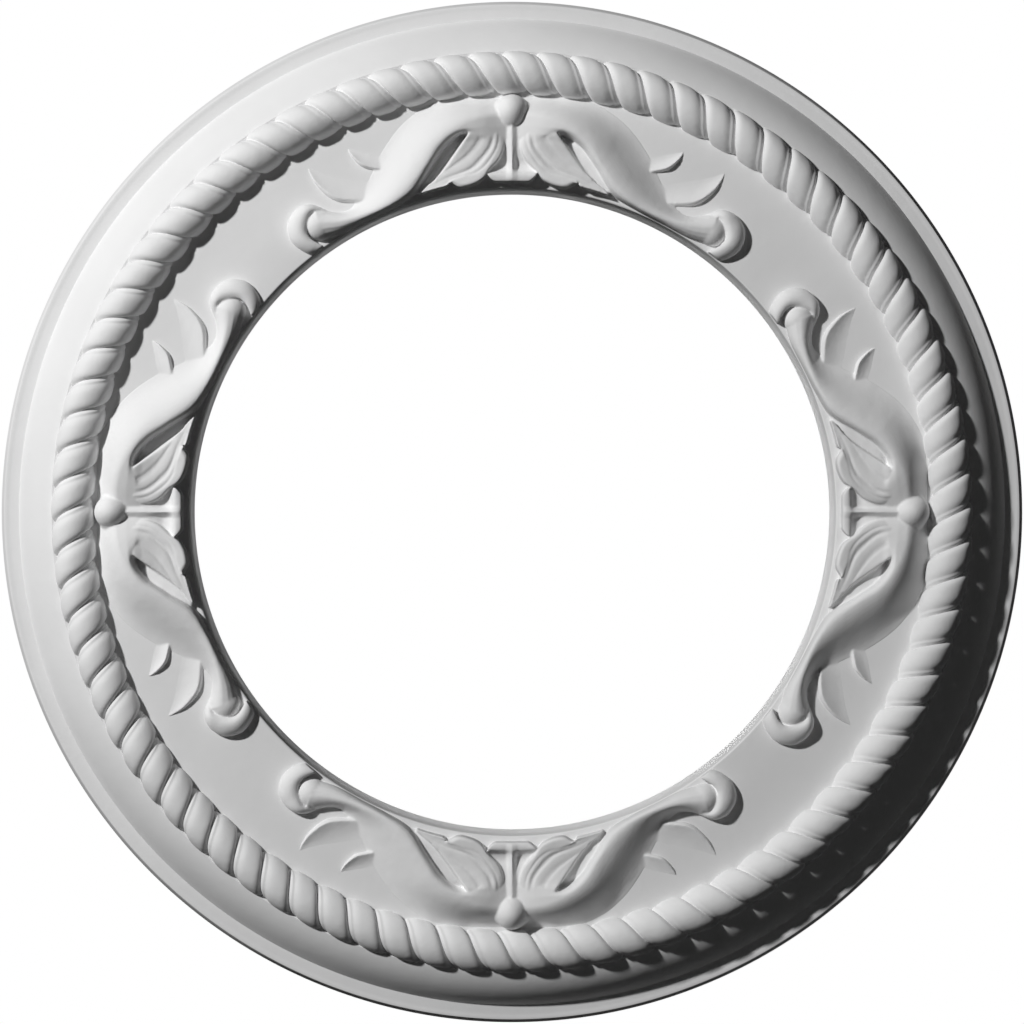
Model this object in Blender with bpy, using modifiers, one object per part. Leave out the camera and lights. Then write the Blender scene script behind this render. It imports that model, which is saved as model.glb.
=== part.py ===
# A ring-shaped ceiling rose, cast in one piece, with a rope moulding and four groups of leaf scrolls.
# It is modelled face up and then turned over under one empty, so that its flat back is at z = 0,
# facing up to the ceiling, and its carving faces down. The origin is the middle of the back.
import bpy
import bmesh
import math
from mathutils import Vector

# Driving dimensions, in metres
hole_radius = 0.1580
field_thickness = 0.0230
field_width = 0.0455
rope_width = 0.0210
rope_rise = 0.0112
rope_groove = 0.0022
ovolo_width = 0.0193
ovolo_rise = 0.0156
rim_width = 0.0106
rim_thickness = 0.0095
edge_slope_width = 0.0030
edge_height = 0.0012
hole_edge_round = 0.0009
carving_height = 0.0128
root_depth = 0.0030
edge_gap = 0.0004

# Counts, turns in degrees, and proportions
group_count = 4
strand_count = 84
strand_crown = 0.45
rope_start = 2.79
rope_turn = 3.7
ovolo_bend = (0.320, 0.443, 0.237)
ovolo_steps = 3
strap_stations = 9
boss_segments = 9
boss_rings = 6
left_half_reach = 0.955
crease_angle = math.radians(40)

rope_radius = hole_radius + field_width + rope_width / 2
ovolo_radius = rope_radius + rope_width / 2 - edge_gap
outer_radius = ovolo_radius + ovolo_width + rim_width
strand_angle = 2 * math.pi / strand_count


def clear_scene():
    for old in list(bpy.data.objects):
        bpy.data.objects.remove(old, do_unlink=True)


def new_collection(name, parent):
    collection = bpy.data.collections.new(name)
    parent.children.link(collection)
    return collection


def flat_white_paint():
    material = bpy.data.materials.new("flat_white_paint")
    material.use_nodes = True
    shader = material.node_tree.nodes["Principled BSDF"]
    shader.inputs["Base Color"].default_value = (0.82, 0.82, 0.81, 1)
    shader.inputs["Roughness"].default_value = 0.7
    shader.inputs["Metallic"].default_value = 0.0
    return material


def on_ring(radius, turn, height):
    """A point on the rose, with its turn in radians clockwise from the top of the face."""
    return Vector((radius * math.sin(turn), radius * math.cos(turn), height))


def on_field(point, height, side):
    """A point of the leaf group: a turn from the group's middle, in degrees, and a share of the field's
    width, 0 at the hole and 1 at the rope. The right half has side 1, and the left half side -1."""
    turn, share = point
    reach = 1 if side > 0 else left_half_reach
    radius = hole_radius + share * field_width
    return on_ring(radius, side * reach * math.radians(turn), field_thickness + height)


def between(first, second, share):
    return tuple(a + (b - a) * share for a, b in zip(first, second))


def smooth_along(points, share):
    """The point at a share from 0 to 1 of a smooth curve through the points."""
    spans = len(points) - 1
    place = share * spans
    index = min(int(place), spans - 1)
    f = place - index
    values = []
    for before, start, end, after in zip(
        points[max(index - 1, 0)], points[index], points[index + 1], points[min(index + 2, spans)]
    ):
        bend = 2 * before - 5 * start + 4 * end - after
        twist = 3 * (start - end) + after - before
        values.append(start + 0.5 * f * (end - before + f * (bend + f * twist)))
    return values


def solid_from(mesh_name, bm):
    """The finished mesh, with every face pointing outwards on either half of the group."""
    bmesh.ops.recalc_face_normals(bm, faces=bm.faces)
    if bm.calc_volume(signed=True) < 0:
        bmesh.ops.reverse_faces(bm, faces=bm.faces)
    mesh = bpy.data.meshes.new(mesh_name)
    bm.to_mesh(mesh)
    bm.free()
    mesh.shade_smooth()
    mesh.set_sharp_from_angle(angle=crease_angle)
    return mesh


def finished_mesh(body, name):
    """A mesh of its own with the body's modifiers worked into it."""
    bpy.context.view_layer.update()
    graph = bpy.context.evaluated_depsgraph_get()
    mesh = bpy.data.meshes.new_from_object(body.evaluated_get(graph))
    mesh.name = name
    return mesh


def skin_between(bm, here, there):
    count = len(here)
    for k in range(count):
        after = (k + 1) % count
        bm.faces.new((here[k], here[after], there[after], there[k]))


def loft(name, rings):
    """A closed solid of triangles through rings of equally many points, with both ends closed."""
    bm = bmesh.new()
    loops = [[bm.verts.new(point) for point in ring] for ring in rings]
    for here, there in zip(loops, loops[1:]):
        skin_between(bm, here, there)
    bm.faces.new(loops[0])
    bm.faces.new(loops[-1])
    bmesh.ops.triangulate(bm, faces=bm.faces)
    return solid_from(name, bm)


def ring_profile():
    """The ring's section, from the hole's edge out over the face, down the rim and back below."""
    top = field_thickness
    points = [(hole_radius, top - hole_edge_round), (hole_radius + hole_edge_round, top)]
    points.append((rope_radius, top))
    for step in range(ovolo_steps + 1):
        across = step / ovolo_steps
        drop = sum(share * across ** (power + 1) for power, share in enumerate(ovolo_bend))
        points.append((ovolo_radius + across * ovolo_width, rim_thickness + ovolo_rise * (1 - drop)))
    points.append((outer_radius - edge_slope_width, rim_thickness))
    points.append((outer_radius, edge_height))
    points.append((outer_radius, 0))
    points.append((hole_radius, 0))
    return points


def make_ring(collection, material):
    """The plain ring, turned in one step to each strand, with its steps meeting the rope's grooves."""
    points = ring_profile()
    profile = bpy.data.meshes.new("ring_profile")
    edges = [(k, (k + 1) % len(points)) for k in range(len(points))]
    profile.from_pydata([(radius, 0, height) for radius, height in points], edges, [])
    turned = bpy.data.objects.new("ring_profile", profile)
    collection.objects.link(turned)
    screw = turned.modifiers.new("turned ring", 'SCREW')
    screw.steps = strand_count
    screw.render_steps = strand_count
    screw.use_merge_vertices = True
    screw.merge_threshold = 0.00001
    mesh = finished_mesh(turned, "ceiling_rose")
    bpy.data.objects.remove(turned, do_unlink=True)
    mesh.shade_smooth()
    mesh.set_sharp_from_angle(angle=crease_angle)
    mesh.materials.append(material)
    ring = bpy.data.objects.new("ceiling_rose", mesh)
    ring.rotation_euler.z = -math.radians(rope_start)
    collection.objects.link(ring)
    return ring


def rope_mesh():
    """A half-round ring of slanting strands, each a groove and a crown, rooted in the ring."""
    groove_swell = 1 - rope_groove / (rope_width / 2)
    bm = bmesh.new()
    loops = []
    for strand in range(strand_count):
        for share in (0, strand_crown):
            swell = groove_swell if share == 0 else 1
            section = []
            for row in (0, 45, 90, 135, 180):
                angle = math.radians(row)
                turn = math.radians(rope_start + rope_turn * row / 180) + strand_angle * (strand + share)
                radius = rope_radius + rope_width / 2 * swell * math.cos(angle)
                rise = rope_rise * swell * math.sin(angle) if 0 < row < 180 else -edge_gap
                section.append(on_ring(radius, turn, field_thickness + rise))
            for foot in (section[-1], section[0]):
                section.append(Vector((foot.x, foot.y, field_thickness - root_depth)))
            loops.append([bm.verts.new(point) for point in section])
    for here, there in zip(loops, loops[1:] + loops[:1]):
        skin_between(bm, here, there)
    return solid_from("rope", bm)


def half_strap(side, root):
    """Half of the broad band, which sweeps from the bud down along the hole's edge and up into the
    scroll. It rises from its outer edge to a ridge, and falls steeply to its inner edge."""
    outer = [
        (0, 0.95), (6, 1.00), (11, 0.99), (16, 0.86), (20.5, 0.65),
        (24, 0.42), (27, 0.26), (29.8, 0.205), (32.6, 0.29), (34.4, 0.37),
    ]
    ridge = [
        (0, 0.68), (4.5, 0.66), (8.5, 0.617), (12, 0.51), (15, 0.31),
        (19, 0.133), (23, 0.045), (28, 0.035), (32.8, 0.05), (35.6, 0.14),
    ]
    inner = [
        (0, 0.50), (4, 0.48), (7.2, 0.575), (10.5, 0.48), (13.5, 0.31),
        (17.5, 0.09), (22.5, 0.02), (28, 0.01), (33, 0.012), (35.8, 0.09),
    ]
    heights = [(0.82,), (0.95,), (1.0,), (0.95,), (0.83,), (0.70,), (0.57,), (0.46,), (0.44,), (0.42,)]
    rings = []
    for station in range(strap_stations + 1):
        share = station / strap_stations
        start, crest, end = (smooth_along(line, share) for line in (outer, ridge, inner))
        height = carving_height * smooth_along(heights, share)[0]
        ring = [on_field(start, -root, side), on_field(start, -edge_gap, side)]
        for across in (0.5, 1):
            ring.append(on_field(between(start, crest, across), height * math.sin(across * math.pi / 2), side))
        ring.append(on_field(between(crest, end, 0.82), height * 0.57, side))
        ring.append(on_field(end, -root, side))
        rings.append(ring)
    return rings


def strap_mesh(root):
    left, right = (half_strap(side, root) for side in (-1, 1))
    return loft("strap", left[:0:-1] + right)


def fan_mesh(side, root):
    """The small leaf in the strap's bend: three ribs round the eye, with a scalloped lower edge."""
    rim = [(5.0, 0.78), (7.2, 0.575), (9.4, 0.465), (11.6, 0.345), (13.4, 0.235), (15.0, 0.14), (17.0, 0.10)]
    upper_groove = [(4.0, 0.78), (4.7, 0.56), (6.4, 0.415), (9.0, 0.325), (11.4, 0.26), (13.8, 0.165), (16.8, 0.085)]
    lower_groove = [(2.8, 0.78), (2.9, 0.54), (4.2, 0.35), (6.2, 0.235), (8.8, 0.175), (12.0, 0.14), (16.6, 0.065)]
    edge = [(1.7, 0.78), (1.2, 0.50), (2.2, 0.27), (4.2, 0.155), (7.6, 0.03), (11.5, 0.115), (16.4, 0.04)]
    heights = [0.72, 0.76, 0.68, 0.62, 0.58, 0.54, 0.50]
    rings = []
    for *marks, share in zip(rim, upper_groove, lower_groove, edge, heights):
        height = carving_height * share
        ring = [on_field(marks[0], -root, side), on_field(marks[0], height * 0.85, side)]
        for first, second in zip(marks, marks[1:]):
            ring.append(on_field(between(first, second, 0.5), height, side))
            ring.append(on_field(second, height * 0.82, side))
        ring.append(on_field(marks[-1], -root, side))
        rings.append(ring)
    return loft("fan_leaf", rings)


def leaf_tip_mesh(left, right, side, root):
    """A pointed tip from the strap's outer edge, flush with the field on its left, raised on its right."""
    rings = []
    for start, end, height in zip(left, right, (0.34, 0.22, 0.05)):
        rings.append([
            on_field(start, -root, side),
            on_field(start, -edge_gap / 2, side),
            on_field(between(start, end, 0.72), carving_height * height, side),
            on_field(end, -root, side),
        ])
    return loft("leaf_tip", rings)


def small_tip_mesh(side, root):
    left = [(20.3, 0.62), (23.8, 0.72), (26.0, 0.80)]
    right = [(22.6, 0.49), (25.7, 0.63), (26.1, 0.79)]
    return leaf_tip_mesh(left, right, side, root)


def large_tip_mesh(side, root):
    left = [(23.6, 0.44), (28.9, 0.59), (32.1, 0.81)]
    right = [(27.3, 0.24), (32.2, 0.50), (32.3, 0.80)]
    return leaf_tip_mesh(left, right, side, root)


def hood_mesh(side, root):
    """The turned-over end of the strap: a fat crescent that hoods the bulb, tapered at both ends."""
    path = [(33.9, 0.40), (36.3, 0.435), (38.7, 0.375), (39.8, 0.25), (39.8, 0.13), (38.9, 0.035)]
    halves = [0.02, 0.075, 0.09, 0.09, 0.07, 0.025]
    heights = [0.35, 0.55, 0.60, 0.57, 0.46, 0.25]
    section = [(1, -1), (0.9, 0.3), (0.5, 0.87), (0, 1), (-0.55, 0.85), (-1, -1)]
    rings = []
    for index, (centre, half, height) in enumerate(zip(path, halves, heights)):
        before = path[max(index - 1, 0)]
        after = path[min(index + 1, len(path) - 1)]
        degree_length = math.radians(1) * (hole_radius + centre[1] * field_width)
        along = Vector(((after[0] - before[0]) * degree_length, (after[1] - before[1]) * field_width))
        across = Vector((-along.y, along.x)).normalized() * half * field_width
        ring = []
        for width, rise in section:
            point = (centre[0] + across.x * width / degree_length, centre[1] + across.y * width / field_width)
            ring.append(on_field(point, -root if rise < 0 else carving_height * height * rise, side))
        rings.append(ring)
    return loft("hood", rings)


def boss_mesh(name, middle, half_turn, half_share, height, side, root):
    """An egg-shaped boss on the field, with its lower half sunk in it."""
    bm = bmesh.new()
    bmesh.ops.create_uvsphere(bm, u_segments=boss_segments, v_segments=boss_rings, radius=1)
    for vertex in bm.verts:
        point = (middle[0] + vertex.co.x * half_turn, middle[1] + vertex.co.y * half_share)
        level = vertex.co.z * (carving_height * height if vertex.co.z > 0 else root)
        vertex.co = on_field(point, level, side)
    bmesh.ops.triangulate(bm, faces=bm.faces)
    return solid_from(name, bm)


def bulb_mesh(side, root):
    return boss_mesh("bulb", (35.0, 0.225), 3.4, 0.19, 0.56, side, root)


def stem_mesh(root):
    """The ridged stem below the bud, which spreads into a two-lobed foot at the hole's edge."""
    stations = [
        (0.74, 0.8, 0.70, 0.35), (0.52, 1.1, 0.62, 0.30), (0.36, 1.4, 0.60, 0.30), (0.26, 1.9, 0.60, 0.34),
        (0.185, 3.9, 0.60, 0.44), (0.13, 4.1, 0.58, 0.44), (0.065, 2.7, 0.52, 0.42),
    ]
    rings = []
    for share, half, ridge, flank in stations:
        ring = [on_field((-half, share), -root, 1)]
        for across, rise in ((-1, flank), (0, ridge), (1, flank)):
            ring.append(on_field((across * half, share), carving_height * rise, 1))
        ring.append(on_field((half, share), -root, 1))
        rings.append(ring)
    return loft("stem", rings)


def add_union(body, piece):
    union = body.modifiers.new("with " + piece.name, 'BOOLEAN')
    union.operation = 'UNION'
    union.solver = 'EXACT'
    union.object = piece


def leaf_group_mesh(collection):
    """The mesh of one group, its pieces carved on each other as one body. Each is rooted a little
    deeper than the one before, so that no two undersides lie in one plane."""
    meshes = [strap_mesh(root_depth), stem_mesh(root_depth * 1.05)]
    meshes.append(boss_mesh("bud", (0, 0.81), 2.4, 0.18, 1, 1, root_depth * 0.6))
    for side in (1, -1):
        for make in (fan_mesh, small_tip_mesh, large_tip_mesh, bulb_mesh, hood_mesh):
            meshes.append(make(side, root_depth * (1 + 0.05 * len(meshes))))
    pieces = [bpy.data.objects.new(mesh.name, mesh) for mesh in meshes]
    for piece in pieces:
        collection.objects.link(piece)
    for piece in pieces[1:]:
        add_union(pieces[0], piece)
    group = finished_mesh(pieces[0], "leaf_group")
    for piece in pieces:
        bpy.data.objects.remove(piece, do_unlink=True)
    return group


def make_carving(collection, parent):
    """The rope and the four leaf groups, which the ring takes up as one body."""
    carvings = [bpy.data.objects.new("rope", rope_mesh())]
    group_mesh = leaf_group_mesh(collection)
    for index in range(group_count):
        group = bpy.data.objects.new(f"leaf_group_{index + 1}", group_mesh)
        group.rotation_euler.z = -2 * math.pi * index / group_count
        carvings.append(group)
    for carving in carvings:
        collection.objects.link(carving)
        carving.parent = parent
        carving.display_type = 'WIRE'
        carving.hide_render = True
    return carvings


def build():
    clear_scene()
    main = new_collection("ceiling rose", bpy.context.scene.collection)
    operands = new_collection("carving joined to the ring", bpy.context.scene.collection)
    face_down = bpy.data.objects.new("face_down", None)
    face_down.rotation_euler = (math.pi, 0, 0)
    main.objects.link(face_down)
    ring = make_ring(main, flat_white_paint())
    ring.parent = face_down
    for carving in make_carving(operands, face_down):
        add_union(ring, carving)


build()
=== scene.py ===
import math
import bmesh
import bpy
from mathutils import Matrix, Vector


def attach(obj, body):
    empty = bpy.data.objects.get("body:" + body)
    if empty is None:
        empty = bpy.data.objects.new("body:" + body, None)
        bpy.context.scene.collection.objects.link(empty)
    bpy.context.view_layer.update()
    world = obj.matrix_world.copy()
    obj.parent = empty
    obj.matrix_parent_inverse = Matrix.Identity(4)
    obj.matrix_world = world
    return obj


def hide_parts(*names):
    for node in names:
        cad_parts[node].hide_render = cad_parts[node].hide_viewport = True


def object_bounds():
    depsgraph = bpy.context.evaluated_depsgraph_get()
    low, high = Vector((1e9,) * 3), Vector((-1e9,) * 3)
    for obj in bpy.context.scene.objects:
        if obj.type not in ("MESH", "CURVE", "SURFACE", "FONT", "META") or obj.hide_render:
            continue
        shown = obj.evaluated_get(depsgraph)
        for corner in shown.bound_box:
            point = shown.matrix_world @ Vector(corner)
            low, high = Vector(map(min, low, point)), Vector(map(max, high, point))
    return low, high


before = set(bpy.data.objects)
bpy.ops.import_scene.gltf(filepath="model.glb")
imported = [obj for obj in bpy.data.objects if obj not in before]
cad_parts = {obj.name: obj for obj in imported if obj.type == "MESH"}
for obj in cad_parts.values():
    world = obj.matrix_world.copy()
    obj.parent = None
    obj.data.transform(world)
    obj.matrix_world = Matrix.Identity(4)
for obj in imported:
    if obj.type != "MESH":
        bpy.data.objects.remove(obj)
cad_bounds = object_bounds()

# The plain ring, moulded in foam in an open mould and painted flat white. Its profile runs from the
# hole's edge over the flat field, down the quarter round outside the rope, and out over a thin rim
# to a fine lip. The whole ring is turned from that one profile.
EDGE_GAP = 0.00005
OUTER_RADIUS = min(cad_bounds[1][0], cad_bounds[1][1]) - EDGE_GAP
HOLE_RADIUS = 0.158
FIELD_THICKNESS = 0.023
FIELD_WIDTH = 0.0455
ROPE_WIDTH = 0.021
ROPE_RADIUS = HOLE_RADIUS + FIELD_WIDTH + ROPE_WIDTH / 2
ROPE_OVERLAP = 0.0004
FILLET_WIDTH = 0.0030
FILLET_RISE = 0.0006
QUARTER_ROUND_RADIUS = ROPE_RADIUS + ROPE_WIDTH / 2 - ROPE_OVERLAP
QUARTER_ROUND_WIDTH = 0.0193
QUARTER_ROUND_RISE = 0.0156
QUARTER_ROUND_BEND = (0.320, 0.443, 0.237)
QUARTER_ROUND_STEPS = 24
RIM_THICKNESS = 0.0095
HOLE_EDGE_ROUND = 0.0010
HOLE_EDGE_STEPS = 6
RING_STEPS = 360


def face_down(radius, turn, height):
    """A place on the face: turn in radians clockwise from the top of the photograph, height off the back."""
    return Vector((radius * math.sin(turn), -radius * math.cos(turn), -height))


def ring_profile():
    """The profile's points, each a radius and a height off the back, from the hole outwards."""
    points = [(HOLE_RADIUS, 0.0), (HOLE_RADIUS, FIELD_THICKNESS * 0.5)]
    for step in range(HOLE_EDGE_STEPS + 1):
        angle = math.pi / 2 * step / HOLE_EDGE_STEPS
        points.append((
            HOLE_RADIUS + HOLE_EDGE_ROUND * (1 - math.cos(angle)),
            FIELD_THICKNESS - HOLE_EDGE_ROUND * (1 - math.sin(angle)),
        ))
    points.append((HOLE_RADIUS + FIELD_WIDTH * 0.5, FIELD_THICKNESS))
    points.append((ROPE_RADIUS, FIELD_THICKNESS))
    points.append((QUARTER_ROUND_RADIUS - FILLET_WIDTH, FIELD_THICKNESS + FILLET_RISE))
    slope, bend, twist = QUARTER_ROUND_BEND
    for step in range(QUARTER_ROUND_STEPS + 1):
        across = step / QUARTER_ROUND_STEPS
        drop = slope * across + bend * across ** 2 + twist * across ** 3
        points.append((
            QUARTER_ROUND_RADIUS + across * QUARTER_ROUND_WIDTH,
            RIM_THICKNESS + QUARTER_ROUND_RISE * (1 - drop),
        ))
    foot = QUARTER_ROUND_RADIUS + QUARTER_ROUND_WIDTH
    rim = [
        (foot + 0.0004, RIM_THICKNESS), (foot + 0.0010, RIM_THICKNESS),
        (OUTER_RADIUS - 0.0066, RIM_THICKNESS), (OUTER_RADIUS - 0.0060, RIM_THICKNESS),
        (OUTER_RADIUS - 0.0050, RIM_THICKNESS + 0.0001), (OUTER_RADIUS - 0.0040, RIM_THICKNESS + 0.0003),
        (OUTER_RADIUS - 0.0034, RIM_THICKNESS + 0.0002), (OUTER_RADIUS - 0.0030, RIM_THICKNESS - 0.0003),
        (OUTER_RADIUS - 0.0024, RIM_THICKNESS - 0.0018), (OUTER_RADIUS - 0.0003, 0.0018),
        (OUTER_RADIUS, 0.0010), (OUTER_RADIUS, 0.0),
    ]
    return points + rim + [(ROPE_RADIUS, 0.0)]


def white_paint(name, grain, swell_strength):
    """Flat white paint on moulded foam: faint clouding in its colour and sheen, a very fine grain, and
    the low swells of the foam's skin."""
    material = bpy.data.materials.new(name)
    material.use_nodes = True
    nodes = material.node_tree.nodes
    links = material.node_tree.links
    shader = nodes["Principled BSDF"]
    shader.inputs["Specular IOR Level"].default_value = 0.3
    place = nodes.new("ShaderNodeTexCoord")
    clouds = nodes.new("ShaderNodeTexNoise")
    clouds.inputs["Scale"].default_value = 22
    clouds.inputs["Detail"].default_value = 4
    links.new(place.outputs["Object"], clouds.inputs["Vector"])
    colour = nodes.new("ShaderNodeValToRGB")
    colour.color_ramp.elements[0].position = 0.3
    colour.color_ramp.elements[0].color = (0.80, 0.80, 0.80, 1)
    colour.color_ramp.elements[1].position = 0.7
    colour.color_ramp.elements[1].color = (0.84, 0.84, 0.84, 1)
    links.new(clouds.outputs["Fac"], colour.inputs["Fac"])
    links.new(colour.outputs["Color"], shader.inputs["Base Color"])
    sheen = nodes.new("ShaderNodeMapRange")
    sheen.inputs["To Min"].default_value = 0.62
    sheen.inputs["To Max"].default_value = 0.8
    links.new(clouds.outputs["Fac"], sheen.inputs["Value"])
    links.new(sheen.outputs["Result"], shader.inputs["Roughness"])
    grit = nodes.new("ShaderNodeTexNoise")
    grit.inputs["Scale"].default_value = 1400
    grit.inputs["Detail"].default_value = 2
    links.new(place.outputs["Object"], grit.inputs["Vector"])
    bump = nodes.new("ShaderNodeBump")
    bump.inputs["Strength"].default_value = grain
    bump.inputs["Distance"].default_value = 0.00008
    links.new(grit.outputs["Fac"], bump.inputs["Height"])
    swell = nodes.new("ShaderNodeTexNoise")
    swell.inputs["Scale"].default_value = 110
    swell.inputs["Detail"].default_value = 3
    links.new(place.outputs["Object"], swell.inputs["Vector"])
    unevenness = nodes.new("ShaderNodeBump")
    unevenness.inputs["Strength"].default_value = swell_strength
    unevenness.inputs["Distance"].default_value = 0.0007
    links.new(swell.outputs["Fac"], unevenness.inputs["Height"])
    links.new(bump.outputs["Normal"], unevenness.inputs["Normal"])
    links.new(unevenness.outputs["Normal"], shader.inputs["Normal"])
    return material


ring_mesh = bpy.data.meshes.new("plain_ring")
profile = ring_profile()
ring_mesh.from_pydata(
    [face_down(radius, 0, height) for radius, height in profile],
    [(k, (k + 1) % len(profile)) for k in range(len(profile))], [],
)
ring = bpy.data.objects.new("plain_ring", ring_mesh)
bpy.context.scene.collection.objects.link(ring)
bpy.ops.object.select_all(action='DESELECT')
ring.select_set(True)
bpy.context.view_layer.objects.active = ring
bpy.ops.object.mode_set(mode='EDIT')
bpy.ops.mesh.select_all(action='SELECT')
bpy.ops.mesh.spin(steps=RING_STEPS, angle=2 * math.pi, center=(0, 0, 0), axis=(0, 0, 1))
bpy.ops.mesh.select_all(action='SELECT')
bpy.ops.mesh.remove_doubles(threshold=0.00001)
bpy.ops.mesh.normals_make_consistent(inside=False)
bpy.ops.object.mode_set(mode='OBJECT')
bpy.ops.object.shade_smooth_by_angle(angle=math.radians(35))
ring.data.materials.append(white_paint("ring_paint", 0.15, 0.22))
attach(ring, "root")
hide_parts("ceiling_rose")

# The rope moulding, a half-round of twisted strands cast with the ring. Each strand swells quickly
# out of its groove, runs broad and round, and steps down over a small ledge into the next groove.
STRAND_COUNT = 84
STRAND_ANGLE = 2 * math.pi / STRAND_COUNT
ROPE_RISE = 0.0112
ROPE_FULLNESS = 0.9
ROPE_START = math.radians(2.79)
ROPE_TURN = math.radians(3.7)
ROPE_SINK = 0.0006
ROPE_BACK = 0.0012
STRAND_SECTION = [
    (0.0, 2.6), (0.03, 1.7), (0.07, 0.95), (0.12, 0.5), (0.19, 0.2), (0.28, 0.06), (0.38, 0.0), (0.48, 0.0),
    (0.57, 0.1), (0.65, 0.3), (0.72, 0.65), (0.78, 1.05), (0.82, 1.3), (0.86, 1.25), (0.90, 1.4), (0.95, 2.0),
    (1.0, 2.6),
]
STRAND_ROWS = 38


def shape_strand(mesh):
    """Wraps a flat grid, from -0.5 to 0.5 each way, round the rope's half round as one strand. The
    section gives how many millimetres the strand lies below its crown, from one groove to the next."""
    columns = len(STRAND_SECTION) - 1
    for vertex in mesh.vertices:
        share, depth = STRAND_SECTION[round((vertex.co.x + 0.5) * columns)]
        row = vertex.co.y + 0.5
        angle = math.pi * row
        half = ROPE_WIDTH / 2 - depth / 1000
        rise = ROPE_RISE * half / (ROPE_WIDTH / 2) * math.sin(angle) ** ROPE_FULLNESS
        turn = ROPE_START + ROPE_TURN * row + STRAND_ANGLE * share
        sink = ROPE_SINK if row < 0.001 or row > 0.999 else 0
        vertex.co = face_down(ROPE_RADIUS + half * math.cos(angle), turn, FIELD_THICKNESS + rise - sink)


bpy.ops.object.select_all(action='DESELECT')
bpy.ops.mesh.primitive_grid_add(x_subdivisions=len(STRAND_SECTION) - 1, y_subdivisions=STRAND_ROWS, size=1)
rope = bpy.context.object
rope.name = "rope_moulding"
shape_strand(rope.data)
bpy.ops.object.mode_set(mode='EDIT')
bpy.ops.mesh.select_all(action='SELECT')
bpy.ops.mesh.spin(steps=STRAND_COUNT, angle=2 * math.pi, center=(0, 0, 0), axis=(0, 0, 1), dupli=True)
bpy.ops.mesh.select_all(action='SELECT')
bpy.ops.mesh.remove_doubles(threshold=0.00002)
bpy.ops.mesh.select_all(action='DESELECT')
bpy.ops.mesh.select_non_manifold()
bpy.ops.mesh.extrude_region_move(TRANSFORM_OT_translate={"value": (0, 0, ROPE_BACK)})
bpy.ops.mesh.bridge_edge_loops()
bpy.ops.mesh.select_all(action='SELECT')
bpy.ops.mesh.normals_make_consistent(inside=False)
bpy.ops.object.mode_set(mode='OBJECT')
bpy.ops.object.shade_smooth_by_angle(angle=math.radians(50))
rope.data.materials.append(white_paint("rope_paint", 0.25, 0.55))
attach(rope, "root")

# Four groups of leaves, cast with the ring: a strap that sweeps from a bud down along the hole's edge
# and up into a scroll on each side, a ribbed leaf in each bend, a stem, and pointed tips. The parts
# are lofted through marks on the field, melted into one body, and smoothed as a mould is.
CARVING_HEIGHT = 0.0128
ROOT_DEPTH = 0.0016
LEFT_HALF_REACH = 0.955
GROUP_COUNT = 4
VOXEL = 0.00046
SOFTENING = 0.5
SOFTENING_PASSES = 4
BACK_SINK = 0.0004


def on_field(mark, height, side):
    """A place on the field. A mark is a turn in degrees from the group's middle, and a share of the
    field's width, 0 at the hole."""
    reach = 1 if side > 0 else LEFT_HALF_REACH
    radius = HOLE_RADIUS + mark[1] * FIELD_WIDTH
    return face_down(radius, side * reach * math.radians(mark[0]), FIELD_THICKNESS + height)


def smooth_along(points, share):
    """The point at a share from 0 to 1 of a smooth curve through the points."""
    spans = len(points) - 1
    place = share * spans
    index = min(int(place), spans - 1)
    f = place - index
    values = []
    for before, start, end, after in zip(
        points[max(index - 1, 0)], points[index], points[index + 1], points[min(index + 2, spans)]
    ):
        bend = 2 * before - 5 * start + 4 * end - after
        twist = 3 * (start - end) + after - before
        values.append(start + 0.5 * f * (end - before + f * (bend + f * twist)))
    return values


def height_along(heights, share):
    """The same for a list of heights, each a share of the carving's height."""
    return CARVING_HEIGHT * smooth_along([(height,) for height in heights], share)[0]


def between(first, second, share):
    return tuple(a + (b - a) * share for a, b in zip(first, second))


def ramp(value, start, length):
    """Rises from 0 to 1 over a length from the start, and stays there."""
    return min(max((value - start) / length, 0), 1)


def add_loft(bm, rings):
    """Adds a closed skin through rings of equally many points, with its faces outwards."""
    loops = [[bm.verts.new(point) for point in ring_points] for ring_points in rings]
    faces = [bm.faces.new(loops[0]), bm.faces.new(loops[-1])]
    for here, there in zip(loops, loops[1:]):
        for k in range(len(here)):
            after = (k + 1) % len(here)
            faces.append(bm.faces.new((here[k], here[after], there[after], there[k])))
    bmesh.ops.recalc_face_normals(bm, faces=faces)


def strap_section(share):
    """The strap's height from its outer edge, 0, to its ridge, 1: a soft foot and a broad round top."""
    return 0.3 * math.sin(math.pi / 2 * share) + 0.7 * (0.5 - 0.5 * math.cos(math.pi * share))


STRAP_STEPS = 72
STRAP_RISE_STEPS = 12


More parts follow.
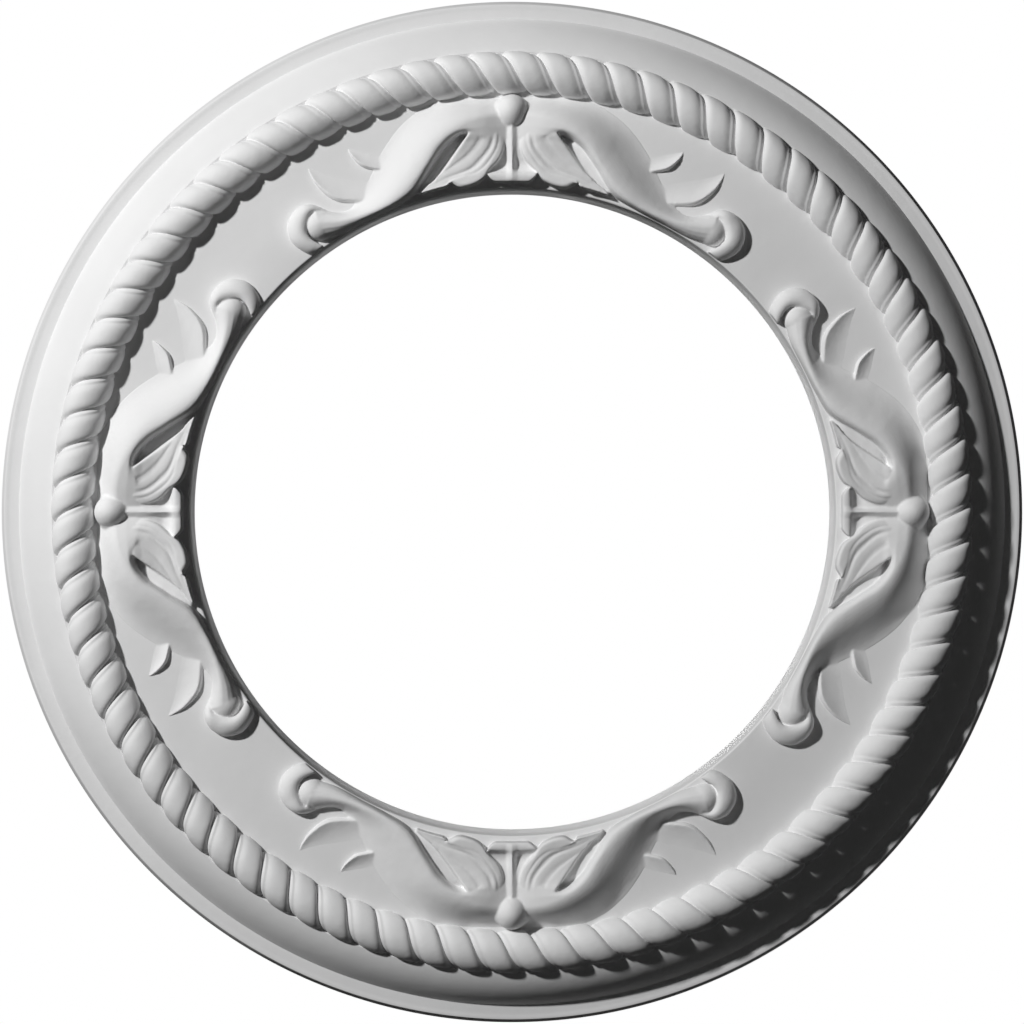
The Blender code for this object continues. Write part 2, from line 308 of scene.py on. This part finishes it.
def strap_half(side):
    """The strap's sections on one side. Inside its ridge it falls softly by the bud and steeply in the
    bend, and where it ends its section is round."""
    outer = [
        (0, 0.97), (6, 1.00), (11, 1.00), (16, 0.87), (20.5, 0.65),
        (24, 0.43), (27, 0.28), (29.8, 0.21), (32.2, 0.27), (34.6, 0.44),
    ]
    ridge = [
        (0, 0.74), (4.5, 0.72), (8.5, 0.64), (12, 0.51), (15, 0.31),
        (19, 0.135), (23, 0.055), (28, 0.06), (32.2, 0.12), (35.4, 0.23),
    ]
    inner = [
        (0, 0.40), (3.6, 0.42), (7.2, 0.585), (10.5, 0.50), (13.5, 0.32),
        (17.5, 0.09), (22.5, 0.02), (28, 0.008), (32.4, 0.015), (35.4, 0.06),
    ]
    heights = [0.44, 0.84, 0.985, 0.965, 0.88, 0.78, 0.67, 0.60, 0.60, 0.60]
    soft_fall = [(0.30, 0.97), (0.60, 0.89), (0.85, 0.77), (1.0, 0.69)]
    steep_fall = [(0.40, 0.97), (0.72, 0.86), (0.92, 0.62), (0.985, 0.30)]
    rings = []
    for station in range(STRAP_STEPS + 1):
        share = station / STRAP_STEPS
        start, crest, end = (smooth_along(line, share) for line in (outer, ridge, inner))
        height = height_along(heights, share)
        steep = ramp(crest[0], 4.5, 3.0)
        full = ramp(share, 0.74, 0.16)
        ring_points = [on_field(start, -ROOT_DEPTH, side)]
        for step in range(STRAP_RISE_STEPS + 1):
            across = step / STRAP_RISE_STEPS
            level = strap_section(across)
            level += (math.sin(math.pi / 2 * across) ** 0.7 - level) * full
            ring_points.append(on_field(between(start, crest, across), height * level, side))
        for soft_point, steep_point in zip(soft_fall, steep_fall):
            place, level = between(soft_point, steep_point, steep)
            level += (math.sqrt(1 - min(place, 0.99) ** 2) - level) * full
            ring_points.append(on_field(between(crest, end, place), height * level, side))
        ring_points.append(on_field(end, -ROOT_DEPTH, side))
        rings.append(ring_points)
    return rings


LEAF_STEPS = 80
RIB_STEPS = 9


def add_leaf(bm, side):
    """The leaf in the bend. Its ribs run round the eye and lie on each other like shingles: each line
    after the first is a groove, and its rib steps down into it by a share of the carving's height."""
    lines = [
        [(5.2, 0.82), (6.6, 0.605), (8.1, 0.485), (9.8, 0.365), (11.6, 0.255), (13.7, 0.155), (16.4, 0.085)],
        [(3.9, 0.82), (4.4, 0.61), (5.3, 0.48), (7.2, 0.365), (9.8, 0.285), (12.6, 0.215), (16.6, 0.09)],
        [(2.7, 0.82), (2.9, 0.59), (3.4, 0.43), (4.9, 0.31), (7.2, 0.20), (11.4, 0.15), (16.6, 0.08)],
        [(2.1, 0.82), (2.1, 0.57), (2.4, 0.42), (3.6, 0.29), (5.6, 0.18), (9.6, 0.12), (16.6, 0.07)],
        [
            (1.6, 0.82), (1.25, 0.56), (1.3, 0.42), (2.3, 0.28), (4.2, 0.165), (5.4, 0.08), (7.4, 0.035),
            (9.6, 0.035), (11.3, 0.11), (11.9, 0.07), (14.0, 0.065), (16.8, 0.06),
        ],
    ]
    rib_count = len(lines) - 1
    floor_line = [
        (6.5, 0.85), (9.5, 0.67), (11.5, 0.55), (13.3, 0.43), (14.8, 0.33), (16.5, 0.22), (18.5, 0.12),
    ]
    steps = [0.0, 0.07, 0.12, 0.08, 0.0]
    heights = [
        (0.40, 0.30, 0.20), (0.84, 0.52, 0.02), (0.73, 0.60, 0.27), (0.61, 0.63, 0.33), (0.55, 0.63, 0.33),
        (0.50, 0.60, 0.31), (0.42, 0.48, 0.20),
    ]
    rings = []
    for station in range(LEAF_STEPS + 1):
        share = station / LEAF_STEPS
        marks = [smooth_along(line, share) for line in lines]
        slot = smooth_along(floor_line, share)
        by_slot, by_stem, slot_floor = smooth_along(heights, share)
        fade = min(share / 0.3, 1) * min((1 - share) / 0.35, 1)
        ring_points = [
            on_field(slot, -ROOT_DEPTH, side), on_field(slot, CARVING_HEIGHT * slot_floor, side),
            on_field(between(marks[0], slot, 0.12), CARVING_HEIGHT * slot_floor, side),
            on_field(marks[0], CARVING_HEIGHT * by_slot * 0.95, side),
        ]
        for rib in range(rib_count):
            for step in range(1, RIB_STEPS):
                across = step / RIB_STEPS
                rise = steps[rib] * 0.6 * (1 - math.sin(math.pi / 2 * ramp(across, 0, 0.5)))
                drop = steps[rib + 1] * max((across - 0.7) / 0.3, 0) ** 1.5
                level = by_slot + (by_stem - by_slot) * (rib + across) / rib_count - fade * (rise + drop)
                mark = between(marks[rib], marks[rib + 1], across)
                ring_points.append(on_field(mark, CARVING_HEIGHT * level, side))
        ring_points.append(on_field(marks[-1], CARVING_HEIGHT * (by_stem - 0.08), side))
        ring_points.append(on_field(marks[-1], -ROOT_DEPTH, side))
        rings.append(ring_points)
    add_loft(bm, rings)


TIP_STEPS = 24
TIP_RISE_STEPS = 8


def add_tip(bm, near_line, far_line, heights, side):
    """A pointed tip like a curved blade: flush with the field along the line nearer the bud, and proud
    along the other."""
    rings = []
    for station in range(TIP_STEPS + 1):
        share = station / TIP_STEPS
        start = smooth_along(near_line, share)
        end = smooth_along(far_line, share)
        height = height_along(heights, share)
        ring_points = [on_field(start, -ROOT_DEPTH, side)]
        for step in range(TIP_RISE_STEPS + 1):
            across = step / TIP_RISE_STEPS
            ring_points.append(on_field(between(start, end, across * 0.86), height * across ** 2, side))
        ring_points.append(on_field(between(start, end, 0.95), height * 0.5, side))
        ring_points.append(on_field(end, -ROOT_DEPTH, side))
        rings.append(ring_points)
    add_loft(bm, rings)


def add_egg(bm, middle, half_turn, half_share, height, side):
    """A round swelling: a ball drawn out to its size on the field, with a shallow root below it."""
    made = bmesh.ops.create_uvsphere(bm, u_segments=32, v_segments=20, radius=1)
    for vertex in made["verts"]:
        mark = (middle[0] + vertex.co.x * half_turn, middle[1] + vertex.co.y * half_share)
        level = vertex.co.z * (CARVING_HEIGHT * height if vertex.co.z > 0 else ROOT_DEPTH)
        vertex.co = on_field(mark, level, side)
    bmesh.ops.recalc_face_normals(bm, faces=list({face for v in made["verts"] for face in v.link_faces}))


SCROLL_STEPS = 40
SCROLL_PLACES = (0.08, 0.18, 0.30, 0.42, 0.54, 0.66, 0.77, 0.86, 0.93, 0.98)


def scroll_section(share):
    """The dome's level from the crease, 0, over its crest and round down to its outline, 1."""
    if share > 0.3:
        return math.sqrt(1 - ((share - 0.3) / 0.7) ** 2)
    return 1 - 2.2 * (0.3 - share) ** 2


def add_scroll(bm, side):
    """The strap's rolled end: a bulb, and the smooth dome that wraps round it, highest by the crease."""
    add_egg(bm, (35.4, 0.225), 2.75, 0.165, 0.59, side)
    crease = [
        (32.9, 0.29), (35.2, 0.37), (37.0, 0.31), (38.0, 0.235), (38.1, 0.16), (37.6, 0.08), (36.9, 0.01),
    ]
    outline = [
        (33.2, 0.34), (34.8, 0.47), (37.0, 0.51), (39.3, 0.46), (40.6, 0.36), (41.1, 0.25), (40.8, 0.14),
        (40.1, 0.05), (39.4, 0.01),
    ]
    heights = [0.10, 0.49, 0.54, 0.55, 0.52, 0.46, 0.36]
    rings = []
    for station in range(SCROLL_STEPS + 1):
        share = station / SCROLL_STEPS
        start = smooth_along(crease, share)
        end = smooth_along(outline, share)
        height = height_along(heights, share)
        ring_points = [on_field(start, -ROOT_DEPTH, side), on_field(start, height * 0.80, side)]
        for across in SCROLL_PLACES:
            ring_points.append(on_field(between(start, end, across), height * scroll_section(across), side))
        ring_points.append(on_field(end, -ROOT_DEPTH, side))
        rings.append(ring_points)
    add_loft(bm, rings)


FOOT_STEPS = 60
FOOT_HALF_STEPS = 24


def add_foot(bm):
    """The foot between the two leaves: a hollow that widens to a lobe on each side at the hole's edge,
    with the stem's ridge down its middle. A station is a place on the field, a half width in degrees,
    the levels of the middle and the sides, and the stem's half width and rise."""
    stations = [
        (0.76, 1.8, 0.44, 0.42, 1.1, 0.20), (0.60, 1.6, 0.46, 0.44, 0.9, 0.15),
        (0.46, 1.7, 0.45, 0.42, 0.75, 0.13), (0.34, 2.2, 0.36, 0.36, 0.7, 0.20),
        (0.25, 3.2, 0.26, 0.30, 0.75, 0.30), (0.18, 4.15, 0.32, 0.38, 0.85, 0.25),
        (0.13, 4.1, 0.53, 0.58, 0.95, 0.09), (0.085, 3.6, 0.56, 0.57, 1.0, 0.06),
        (0.055, 2.9, 0.53, 0.52, 0.85, 0.03),
    ]
    rings = []
    for station in range(FOOT_STEPS + 1):
        share, half, middle, flank, stem_half, stem_rise = smooth_along(stations, station / FOOT_STEPS)
        ring_points = [on_field((-half, share), -ROOT_DEPTH, 1)]
        for step in range(-FOOT_HALF_STEPS, FOOT_HALF_STEPS + 1):
            across = step / FOOT_HALF_STEPS
            rise = middle + (flank - middle) * across ** 2
            rise += stem_rise * max(1 - abs(across) * half / stem_half, 0) ** 0.8
            ring_points.append(on_field((across * half, share), CARVING_HEIGHT * rise, 1))
        ring_points.append(on_field((half, share), -ROOT_DEPTH, 1))
        rings.append(ring_points)
    add_loft(bm, rings)


bm = bmesh.new()
add_loft(bm, strap_half(-1)[:0:-1] + strap_half(1))
add_foot(bm)
add_egg(bm, (0, 0.775), 3.2, 0.205, 0.74, 1)
add_egg(bm, (0, 0.80), 2.5, 0.20, 0.98, 1)
for side in (1, -1):
    add_leaf(bm, side)
    add_tip(
        bm, [(20.8, 0.57), (22.4, 0.66), (24.2, 0.745), (25.5, 0.81)],
        [(22.4, 0.45), (24.6, 0.55), (25.4, 0.68), (25.6, 0.80)], [0.12, 0.23, 0.17, 0.02], side,
    )
    add_tip(
        bm, [(24.2, 0.37), (27.0, 0.50), (30.0, 0.66), (32.1, 0.82)],
        [(27.0, 0.20), (31.0, 0.35), (32.4, 0.58), (32.3, 0.81)], [0.10, 0.23, 0.18, 0.02], side,
    )
    add_scroll(bm, side)
group_mesh = bpy.data.meshes.new("leaf_group")
bm.to_mesh(group_mesh)
bm.free()
group = bpy.data.objects.new("leaf_group", group_mesh)
bpy.context.scene.collection.objects.link(group)
bpy.ops.object.select_all(action='DESELECT')
group.select_set(True)
bpy.context.view_layer.objects.active = group
melt = group.modifiers.new("melted together", 'REMESH')
melt.mode = 'VOXEL'
melt.voxel_size = VOXEL
bpy.ops.object.modifier_apply(modifier=melt.name)
soften = group.modifiers.new("softened", 'SMOOTH')
soften.factor = SOFTENING
soften.iterations = SOFTENING_PASSES
bpy.ops.object.modifier_apply(modifier=soften.name)
bpy.ops.object.mode_set(mode='EDIT')
bpy.ops.mesh.select_all(action='SELECT')
bpy.ops.mesh.bisect(
    plane_co=(0, 0, -FIELD_THICKNESS + BACK_SINK), plane_no=(0, 0, 1), use_fill=True, clear_outer=True,
    threshold=0.000001,
)
bpy.ops.object.mode_set(mode='OBJECT')
bpy.ops.object.shade_smooth()
group.data.materials.append(white_paint("leaf_paint", 0.25, 0.55))
bpy.data.objects.remove(group, do_unlink=True)
for index in range(GROUP_COUNT):
    mesh = group_mesh.copy()
    mesh.name = f"leaf_group_{index + 1}"
    turned = bpy.data.objects.new(mesh.name, mesh)
    bpy.context.scene.collection.objects.link(turned)
    turned.rotation_euler.z = 2 * math.pi * index / GROUP_COUNT
    bpy.ops.object.select_all(action='DESELECT')
    turned.select_set(True)
    bpy.context.view_layer.objects.active = turned
    bpy.ops.object.transform_apply(location=False, rotation=True, scale=False)
    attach(turned, "root")
bpy.data.meshes.remove(group_mesh)

# The studio: a pale floor far below the rose, a small key lamp to the upper left of its face, and a
# broad light from straight above for its back and the floor. The floor's own bounce is switched off,
# so that the shadows on the face stay dark.
FLOOR_DROP = 2.2
FLOOR_SIZE = 30
bpy.ops.object.select_all(action='DESELECT')
bpy.ops.mesh.primitive_plane_add(size=FLOOR_SIZE, location=(0, 0, -FLOOR_DROP))
floor = bpy.context.object
floor.name = "studio_floor"
floor_paint = bpy.data.materials.new("pale_floor")
floor_paint.use_nodes = True
floor_paint.node_tree.nodes["Principled BSDF"].inputs["Base Color"].default_value = (0.8, 0.8, 0.8, 1)
floor_paint.node_tree.nodes["Principled BSDF"].inputs["Roughness"].default_value = 0.9
floor.data.materials.append(floor_paint)
floor.visible_diffuse = False

KEY_TURN = math.radians(-55)
KEY_ELEVATION = math.radians(40)
KEY_DISTANCE = 1.9
key = bpy.data.lights.new("key_light", 'AREA')
key.shape = 'DISK'
key.size = 0.12
key.energy = 31.2
key_lamp = bpy.data.objects.new("key_light", key)
key_lamp.location = KEY_DISTANCE * face_down(math.cos(KEY_ELEVATION), KEY_TURN, math.sin(KEY_ELEVATION))
key_lamp.rotation_euler = key_lamp.location.to_track_quat('Z', 'Y').to_euler()
bpy.context.scene.collection.objects.link(key_lamp)
top = bpy.data.lights.new("top_light", 'SUN')
top.energy = 2.2
top.angle = math.radians(8)
top_lamp = bpy.data.objects.new("top_light", top)
top_lamp.location = (0, 0, 2.5)
bpy.context.scene.collection.objects.link(top_lamp)

studio = bpy.data.worlds.new("white_studio")
studio.use_nodes = True
nodes = studio.node_tree.nodes
links = studio.node_tree.links
nodes["Background"].inputs["Color"].default_value = (1, 1, 1, 1)
nodes["Background"].inputs["Strength"].default_value = 0.015
seen = nodes.new("ShaderNodeBackground")
seen.inputs["Color"].default_value = (1, 1, 1, 1)
seen.inputs["Strength"].default_value = 1.0
path = nodes.new("ShaderNodeLightPath")
mix = nodes.new("ShaderNodeMixShader")
links.new(path.outputs["Is Camera Ray"], mix.inputs["Fac"])
links.new(nodes["Background"].outputs["Background"], mix.inputs[1])
links.new(seen.outputs["Background"], mix.inputs[2])
links.new(mix.outputs["Shader"], nodes["World Output"].inputs["Surface"])
bpy.context.scene.world = studio
bpy.context.scene.view_settings.view_transform = 'Standard'

# The camera: straight below the rose, looking up, with the top of the photograph towards -Y. Its
# lens makes the rose fill the frame as it does in the photograph.
CAMERA_DROP = 1.112
view = bpy.data.cameras.new("camera")
view.sensor_width = 36
view.lens = 78.5
camera = bpy.data.objects.new("camera", view)
camera.location = (0, 0, -CAMERA_DROP)
camera.rotation_euler = (math.pi, 0, 0)
bpy.context.scene.collection.objects.link(camera)
bpy.context.scene.camera = camera
